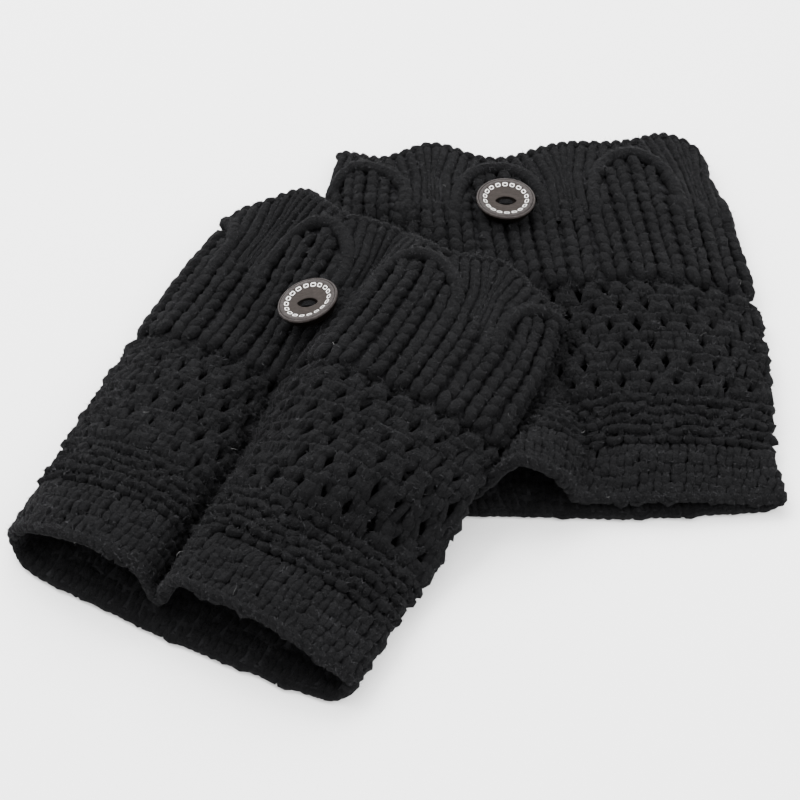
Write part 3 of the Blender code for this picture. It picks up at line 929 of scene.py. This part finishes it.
hem = {
    "stitches": 60,
    "samples": 11,
    "wobble": (0.65, 0.7),   # of the plain rows and of the ridges
    "clothRows": 18,
    "plainRows": 5,
    "plainHeight": 4.5,
    "plain": ((0.00, -0.22, -1.6, 1.30),) + mirrored((
        (0.27, -0.18, -1.1, 1.60),
        (0.34, 0.12, -0.2, 1.85),
        (0.285, 0.50, 0.30, 2.00),
        (0.22, 0.92, -0.3, 1.80),
        (0.30, 1.20, -1.4, 1.40),
        (0.50, 1.30, -2.0, 1.20),
    ), 0.5),
    "firstRow": 1.2,
    "groove": 23.4,
    "grooveSize": (1.3, 1.8),   # depth and half width
    "ridgesAbove": 2.5,   # the groove
    "ridgeRows": 5,
    "ridgeHeight": 4.4,
    # the cast-on edge, two strands laid round each other
    "edgePoints": 480,
    "edgeTwists": 48,
    "edgeUp": (1.1, 0.7),    # middle and swing
    "edgeOut": (-0.2, 0.75),
    "edgeRadius": 1.6,
    # purl side: the loops' heads and feet stand out as bumps
    "ridge": ((0.00, -0.30, 0.50, 2.15),) + mirrored((
        (0.22, -0.06, -0.35, 1.70),
        (0.34, 0.30, -1.4, 1.45),
        (0.28, 0.62, -0.9, 1.55),
        (0.32, 0.86, -0.2, 1.75),
        (0.50, 1.04, 0.65, 2.20),
    ), 0.5),
}


def makeHem(cuff):
    high = cuffSize["hemTop"] - shellBuild["inset"]

    def crease(u, v):
        deep, half = hem["grooveSize"]
        return -deep * np.exp(-(((v - hem["groove"]) / half) ** 2))

    shell = clothShell(
        cuff, "HemCloth", level(shellBuild["edgeInset"]), level(high),
        shellBuild["cells"], hem["clothRows"], relief=crease,
    )
    plain = knitCourses(
        cuff, hem["plain"], hem["stitches"], hem["samples"],
        evenCourses(hem["firstRow"], hem["plainHeight"], hem["plainRows"]), hem["plainHeight"],
        seed=41, wobble=hem["wobble"][0], relief=crease,
    )
    ridges = knitCourses(
        cuff, hem["ridge"], hem["stitches"], hem["samples"],
        evenCourses(hem["groove"] + hem["ridgesAbove"], hem["ridgeHeight"], hem["ridgeRows"]),
        hem["ridgeHeight"], seed=42, wobble=hem["wobble"][1],
    )
    parts = [plain, ridges]
    turns = np.arange(hem["edgePoints"]) / hem["edgePoints"]
    for ply in (0.0, math.pi):
        phase = 2 * math.pi * hem["edgeTwists"] * turns + ply + slowWave(43, turns, 0.0, 1.2)
        v = hem["edgeUp"][0] + hem["edgeUp"][1] * np.cos(phase)
        depth = hem["edgeOut"][0] + hem["edgeOut"][1] * np.sin(phase)
        parts.append(strandAlong(cuff, turns, v, depth, np.full_like(turns, hem["edgeRadius"]), sides=7))
    finishPart(cuff, "Hem", shell, parts)


for cuff in (frontCuff, rearCuff):
    makeHem(cuff)
    makeBody(cuff)
    makeBand(cuff)
    print("cuffs: knitted the", cuff["name"], "cuff")


nap = {
    "fibres": 35000,      # short ones on each cuff
    "shares": (0.34, 0.38, 0.28),   # of them on the hem, the lace and the band
    "length": (0.9, 2.9),
    "width": 0.11,
    "scatter": 0.22,
    "lean": 1.1,          # how flat the fibres lie
    "curl": 0.55,
    "steps": 2,
    "rootIn": 0.15,
    "taper": 0.6,
    "droop": 0.12,
    "lowest": 0.15,       # over the floor
    "facing": -0.15,      # none grow where the cloth faces down more than this
    "lint": 22,           # longer pale ones
    "lintLength": (4.0, 9.0),
    "lintWidth": 0.13,
    "lintLean": 2.2,
    "lintCurl": 0.5,
    "lintSteps": 5,
    # the short fibres are real, but their tone, far lighter than the yarn's, is painted sheen on the fuzz
    "shade": (0.026, 0.026, 0.028),
    "lintShade": (0.12, 0.12, 0.12),
    "sockets": {"Roughness": 0.8, "Specular IOR Level": 0.2},
    "tones": ((0.35, 0.5), (0.5, 1.0), (0.7, 1.7)),   # place in the noise, share of the shade
}


def napMaterial(name, shade):
    material, tree, shader = nodeMaterial(name)
    place = tree.nodes.new("ShaderNodeTexCoord")
    cloud = noiseOn(tree, place.outputs["Object"], Scale=420.0, Detail=2.0)
    stops = [(at, tuple(share * c for c in shade)) for at, share in nap["tones"]]
    tree.links.new(ramp(tree, cloud["Fac"], stops), shader.inputs["Base Color"])
    setSockets(shader, nap["sockets"])
    return material


def fibreMesh(name, roots, facing, length, width, lean, curl, segments, chance):
    # thin tapering ribbons, each a bent line of a few short steps
    count = len(roots)
    step = (length / segments)[:, None]
    way = unit(facing + lean * unit(chance.normal(0, 1, (count, 3))))
    side = unit(np.cross(way, chance.normal(0, 1, (count, 3))))
    here = roots - nap["rootIn"] * facing
    corners = []
    for k in range(segments):
        half = 0.5 * width * (1.0 - nap["taper"] * k / segments)
        corners += [here - side * half, here + side * half]
        here = here + way * step
        way = unit(way + curl * chance.normal(0, 1, (count, 3)) + np.array([0.0, 0.0, -nap["droop"]]))
    corners.append(here)
    vertices = np.stack(corners, axis=1)
    vertices[..., 2] = np.maximum(vertices[..., 2], nap["lowest"])
    faces = []
    for k in range(segments - 1):
        faces += [(2 * k, 2 * k + 1, 2 * k + 2), (2 * k + 1, 2 * k + 3, 2 * k + 2)]
    faces.append((2 * segments - 2, 2 * segments - 1, 2 * segments))
    faces = np.array(faces)[None] + (np.arange(count) * len(corners))[:, None, None]
    return meshFrom(name, vertices.reshape(-1, 3), faces.reshape(-1, 3))


def napRoots(cuff, count, chance):   # roots and their facings, shared out between hem, lace and band
    picked = []
    for spots, share in zip(cuff["nap"], nap["shares"]):
        bare = np.flatnonzero(unit(spots[:, 3:])[:, 2] > nap["facing"])
        picked.append(spots[chance.choice(bare, int(count * share))])
    picked = np.concatenate(picked)
    return picked[:, :3] + chance.normal(0, nap["scatter"], (len(picked), 3)), unit(picked[:, 3:])


def growNap(cuff, seed):
    chance = np.random.default_rng(seed)
    short = [nap[key] for key in ("fibres", "length", "width", "lean", "curl", "steps")]
    lint = [nap[key] for key in ("lint", "lintLength", "lintWidth", "lintLean", "lintCurl", "lintSteps")]
    for part, material, kind in (("Nap", napPaintedSheen, short), ("Lint", napLint, lint)):
        count, length, width, lean, curl, segments = kind
        roots, facing = napRoots(cuff, count, chance)
        reach = chance.uniform(*length, len(roots)) * chance.uniform(0.5, 1.0, len(roots))
        piece = fibreMesh(cuff["name"] + part, roots, facing, reach, width, lean, curl, segments, chance)
        finishPiece(piece, material)


napPaintedSheen = napMaterial("black_wool_nap_painted_sheen", nap["shade"])
napLint = napMaterial("pale_lint", nap["lintShade"])
growNap(frontCuff, 51)
growNap(rearCuff, 52)
print("cuffs: nap grown")


button = {
    # half section from the foot to the edge of the dish: radius, height
    "turned": (
        (9.0, 0.0), (9.4, 0.15), (10.1, 0.7), (10.75, 2.0), (11.35, 3.4), (11.7, 4.1), (11.9, 4.55),
        (11.85, 5.0), (11.65, 5.35), (11.4, 5.48), (11.2, 5.46), (11.08, 5.28), (10.88, 5.28), (10.72, 5.5),
        (10.3, 5.6), (9.9, 5.56), (9.5, 5.4), (8.9, 5.12), (8.2, 4.84), (7.4, 4.64), (6.5, 4.56), (5.6, 4.53),
    ),
    "sideUpTo": 6,          # the steps of the section that are the side, darkened with painted shade
    "grooveAt": 11,         # the step that is the floor of the groove in the rim, which gets the side's painted shade
    "rimUpTo": 16,
    "around": 112,
    "dish": 4.5,
    "eyeHalf": 4.25,
    "eyeHalfWidth": 2.5,
    "eyeDepth": 1.5,
    "eyeLip": 1.06,         # where the dish ends, for the recess's size
    "lipSteps": (0.4, 0.75, 0.95),
    # the recess from its lip down: its size, how deep, and 0 for the face's finish or 1 for the side's
    # painted shade
    "eyeSteps": ((1.0, 0.12, 0), (0.96, 0.5, 1), (0.93, 1.5, 1), (0.4, 1.5, 1)),
    "eyeAside": 0.7,
    "eyeEnds": 0.7,         # from pointed ends at 1 to an ellipse at a half
    "reaches": (0.3, 0.65, 0.95),
    "radius": 11.9,
    "gap": 0.3,
    "marks": 18,
    "markAt": 8.45,
    "markHalf": (1.06, 0.8),   # half its length round and half its width
    "markLine": 0.36,
    "markRise": 0.05,
    "markFoot": -0.1,
    "markBend": (0.62, 0.2),   # its corners' bend, and the least of it inside the line
    "markUneven": (0.008, 0.03),
}
sewing = {
    "threads": 4,
    "points": 15,
    "half": 2.5,
    "apart": 0.62,
    "pinch": 0.35,          # how much closer they lie at their ends
    "rise": 0.75,
    "radius": 0.42,
    "uneven": (0.06, 0.1),
}
frontCuff["button"] = {"at": 68.9, "along": 129.3, "turn": -13.0, "lean": (0.063, 0.158, 0.0)}
rearCuff["button"] = {"at": 73.1, "along": 143.7, "turn": 1.0, "lean": (0.0, 0.0, 0.0)}


def woodMaterial(name, tones, roughness, gloss):
    material, tree, shader = nodeMaterial(name)
    place = tree.nodes.new("ShaderNodeTexCoord")
    lie = mapped(tree, place.outputs["Object"], (300.0, 2600.0, 300.0), 12.0)
    grain = noiseOn(tree, lie, Scale=1.0, Detail=5.0, Roughness=0.6, Distortion=0.7)
    pores = noiseOn(tree, place.outputs["Object"], Scale=900.0, Detail=3.0, Roughness=0.7)
    blend = mixed(tree, 0.35, grain["Fac"], pores["Fac"])
    tone = ramp(tree, blend, list(zip((0.36, 0.5, 0.66), tones)))
    tree.links.new(tone, shader.inputs["Base Color"])
    setSockets(shader, {"Roughness": roughness, "Specular IOR Level": gloss})
    normal = bumpOver(tree, grain["Fac"], 0.35, 0.00015)
    tree.links.new(normal, shader.inputs["Normal"])
    return material


woodFinish = {
    # three tones from dark to light, roughness and gloss
    "face": (((0.0090, 0.0066, 0.0055), (0.0135, 0.0102, 0.0087), (0.022, 0.0175, 0.0152)), 0.55, 0.08),
    # painted highlight: the rim's tones are the face's wood made lighter and greyer, where the rounded rim
    # catches the light
    "rim": (((0.0085, 0.0067, 0.0062), (0.019, 0.0155, 0.0148), (0.035, 0.0300, 0.0288)), 0.48, 0.13),
    # painted shade: the same wood made far darker, for the undercut side, the groove in the rim, the recess
    # and the foot
    "side": (((0.0012, 0.0008, 0.0007), (0.0020, 0.0014, 0.0011), (0.0038, 0.0027, 0.0022)), 0.6, 0.05),
    "mark": (((0.50, 0.49, 0.48), (0.62, 0.61, 0.60), (0.72, 0.71, 0.70)), 0.6, 0.2),
}
woodFace = woodMaterial("button_wood_face", *woodFinish["face"])
woodRimHighlight = woodMaterial("button_wood_rim_painted_highlight", *woodFinish["rim"])
woodPaintedShade = woodMaterial("button_wood_painted_shade", *woodFinish["side"])
woodMark = woodMaterial("button_mark_pale", *woodFinish["mark"])


def buttonSeat(cuff):   # where the button lies on the band, and the three ways of its axes
    place = cuff["button"]
    angles = np.linspace(0.0, 2 * math.pi, 24, endpoint=False)
    reach = np.array(button["reaches"])[:, None] * button["radius"]
    u = (place["at"] + reach * np.cos(angles)) / cuffSize["around"]
    v = place["along"] + reach * np.sin(angles)
    out = clothOut(cuff, u, v)
    under = (clothFace(cuff, u, v) + out * bandRise(cuff, u, v)[..., None]).reshape(-1, 3)
    middle = under.mean(axis=0)
    up = np.linalg.svd(under - middle)[2][2]
    up = unit(up * math.copysign(1.0, up[2]) + np.array(place["lean"]))   # its thread lets it lean
    highest = ((under - middle) @ up).max()
    turn = math.radians(place["turn"])
    side = np.array([math.cos(turn), math.sin(turn), 0.0])
    side = unit(side - up * side.dot(up))
    return middle + up * (highest + button["gap"]), np.array([side, np.cross(up, side), up])


def eyePoint(angle, scale):   # the rounded almond's outline
    side = math.sin(angle)
    y = math.copysign(button["eyeHalfWidth"] * abs(side) ** (2 * button["eyeEnds"]), side)
    return scale * button["eyeHalf"] * math.cos(angle), scale * y - button["eyeAside"]


def dishHeight(radius):
    rings = sorted(ring for ring in button["turned"][button["rimUpTo"] - 2:])
    return np.interp(radius, [r for r, z in rings], [z for r, z in rings])


def carveButton(cuff, seat, axes):
    angles = [2 * math.pi * k / button["around"] for k in range(button["around"])]
    rows = [[(r * math.cos(w), r * math.sin(w), z) for w in angles] for r, z in button["turned"]]
    kinds = [1] * button["sideUpTo"] + [2] * (button["rimUpTo"] - button["sideUpTo"])
    kinds[button["grooveAt"]] = 1
    kinds += [0] * (len(rows) - 1 - len(kinds))
    last = button["turned"][-1][0]
    for share in button["lipSteps"]:
        row = []
        for w in angles:
            x, y = eyePoint(w, button["eyeLip"])
            row.append((
                last * math.cos(w) * (1 - share) + x * share,
                last * math.sin(w) * (1 - share) + y * share,
                button["dish"] + 0.03 * (1 - share),
            ))
        rows.append(row)
        kinds.append(0)
    for scale, drop, kind in button["eyeSteps"]:
        rows.append([(*eyePoint(w, scale), button["dish"] - drop) for w in angles])
        kinds.append(kind)
    count = button["around"]
    vertices = np.array(rows).reshape(-1, 3)
    index = np.arange(len(vertices)).reshape(len(rows), count)
    nxt = np.roll(index, -1, axis=1)
    quads = np.stack([index[:-1], nxt[:-1], nxt[1:], index[1:]], axis=-1).reshape(-1, 4)
    kinds = np.repeat(kinds, count)
    # the flat foot and the floor of the recess are closed with a middle point each
    floorMiddle = (0, -button["eyeAside"], button["dish"] - button["eyeDepth"])
    vertices = np.concatenate([vertices, [(0, 0, 0), floorMiddle]])
    foot = len(vertices) - 2
    first = index[0]
    close = np.stack([nxt[0][::2], first[::2], np.full(count // 2, foot), nxt[0][1::2]], axis=-1)
    inner = index[-1]
    floor = np.stack([inner[::2], nxt[-1][::2], nxt[-1][1::2], np.full(count // 2, foot + 1)], axis=-1)
    quads = np.concatenate([quads, close, floor])
    # the foot and the floor of the recess take the side's painted shade
    kinds = np.concatenate([kinds, np.ones(count, int)])
    piece = meshFrom(cuff["name"] + "Button", vertices @ axes + seat, quads)
    # material 0 is the face, 1 the painted shade on the side, groove and recess, 2 the painted highlight on
    # the rim
    for material in (woodFace, woodPaintedShade, woodRimHighlight):
        piece.data.materials.append(material)
    piece.data.polygons.foreach_set("material_index", kinds.astype(np.int32))
    finishPiece(piece, None, [cuff["nodes"] + "_button"])


def markButton(cuff, seat, axes, chance):   # a ring of small outlined blocks, cut and filled pale
    corner = np.linspace(0.0, 0.5 * math.pi, 6)
    line = button["markLine"]
    rise = button["markRise"]
    foot = button["markFoot"]
    placeUneven, sizeUneven = button["markUneven"]
    widest, least = button["markBend"]
    rows = []
    for k in range(button["marks"]):
        middle = 2 * math.pi * (k + 0.5) / button["marks"] + chance.normal(0, placeUneven)
        grow = 1.0 + chance.normal(0, sizeUneven)
        for inset, above in ((0.0, foot), (0.0, rise), (line, rise), (line, foot)):
            halfRound = button["markHalf"][0] * grow - inset
            halfWide = button["markHalf"][1] - inset
            bend = max(widest - inset, least)
            row = []
            for quarter in range(4):
                turned = corner + quarter * 0.5 * math.pi
                sx = 1.0 if quarter in (0, 3) else -1.0
                sy = 1.0 if quarter in (0, 1) else -1.0
                a = sx * (halfRound - bend) + bend * np.cos(turned)
                r = sy * (halfWide - bend) + bend * np.sin(turned) + button["markAt"]
                w = middle + a / button["markAt"]
                row.append(np.stack([r * np.cos(w), r * np.sin(w), dishHeight(r) + above], axis=-1))
            rows.append(np.concatenate(row))
    rows = np.array(rows).reshape(button["marks"], 4, -1, 3)
    index = np.arange(rows[..., 0].size).reshape(rows.shape[:3])
    nxt = np.roll(index, -1, axis=2)
    quads = np.stack([index[:, :-1], index[:, 1:], nxt[:, 1:], nxt[:, :-1]], axis=-1).reshape(-1, 4)
    piece = meshFrom(cuff["name"] + "ButtonMarks", rows.reshape(-1, 3) @ axes + seat, quads)
    finishPiece(piece, woodMark)


def sewButton(cuff, seat, axes, chance):   # the sewing thread across the recess
    share = np.linspace(-1.0, 1.0, sewing["points"])
    floor = button["dish"] - button["eyeDepth"]
    aside, above = sewing["uneven"]
    paths = []
    for k in range(sewing["threads"]):
        x = sewing["half"] * share
        y = (k - 0.5 * (sewing["threads"] - 1)) * sewing["apart"] * (1.0 - sewing["pinch"] * share ** 2)
        y = y + chance.normal(0, aside) - button["eyeAside"]
        z = floor + sewing["rise"] * (1 - share ** 4) + above * chance.normal()
        paths.append(np.stack([x, y, z], axis=-1) @ axes + seat)
    paths = np.array(paths)
    out = np.broadcast_to(axes[2], paths.shape)
    radius = np.full(paths.shape[:2], sewing["radius"])
    vertices, quads, uvs, _ = sweepYarn(paths, out, radius, 8, closed=False)
    piece = meshFrom(cuff["name"] + "ButtonThread", vertices, quads, uvs)
    finishPiece(piece, yarn)


for cuff, seed in ((frontCuff, 61), (rearCuff, 62)):
    seat, axes = buttonSeat(cuff)
    chance = np.random.default_rng(seed)
    carveButton(cuff, seat, axes)
    markButton(cuff, seat, axes, chance)
    sewButton(cuff, seat, axes, chance)
print("cuffs: buttons sewn on")


studio = {
    "cameraDistance": 0.765,
    "cameraElevation": 50.0,
    "lens": 90.0,
    "sensor": 36.0,
    "floorReach": 3.0,
    "floorFinish": {"Base Color": (0.90, 0.90, 0.90, 1.0), "Roughness": 0.8, "Specular IOR Level": 0.1},
    "worldLight": {"Color": (1.0, 1.0, 1.0, 1.0), "Strength": 2.5},
    # place, size and power of each soft light
    "lights": (
        ("keyLight", (-0.7, 0.5, 1.2), 0.9, 36.0),
        ("fillLight", (0.9, -0.5, 1.1), 1.0, 18.0),
        ("topLight", (0.1, 0.9, 1.2), 1.0, 24.0),
    ),
}


def makeFloor():
    mesh = bpy.data.meshes.new("studioFloor")
    reach = studio["floorReach"]
    mesh.from_pydata(
        [(-reach, -reach, 0), (reach, -reach, 0), (reach, reach, 0), (-reach, reach, 0)], [], [(0, 1, 2, 3)],
    )
    floor = newObject("studioFloor", mesh)
    material, tree, shader = nodeMaterial("pale_floor")
    setSockets(shader, studio["floorFinish"])
    mesh.materials.append(material)
    floor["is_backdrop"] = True


def makeStudio():
    makeFloor()
    world = bpy.data.worlds.new("studioWorld")
    world.use_nodes = True
    setSockets(world.node_tree.nodes["Background"], studio["worldLight"])
    bpy.context.scene.world = world
    for name, place, size, power in studio["lights"]:
        light = bpy.data.lights.new(name, "AREA")
        light.energy = power
        light.size = size
        lamp = newObject(name, light)
        lamp.location = place
        lamp.rotation_euler = (-Vector(place)).to_track_quat("-Z", "Y").to_euler()
    tilt = math.radians(studio["cameraElevation"])
    aim = -pairMiddle * mm
    back = Vector((0.0, -math.cos(tilt), math.sin(tilt)))
    lens = bpy.data.cameras.new("photoCamera")
    lens.lens = studio["lens"]
    lens.sensor_width = studio["sensor"]
    camera = newObject("photoCamera", lens)
    camera.location = Vector(aim) + back * studio["cameraDistance"]
    camera.rotation_euler = (-back).to_track_quat("-Z", "Y").to_euler()
    bpy.context.scene.camera = camera


makeStudio()
print("cuffs: studio ready")

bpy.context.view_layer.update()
triangles = {piece.name: len(piece.data.loops) - 2 * len(piece.data.polygons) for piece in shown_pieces()}
print("cuffs:", sum(triangles.values()), "triangles, at most", max(triangles.values()), "in a piece")
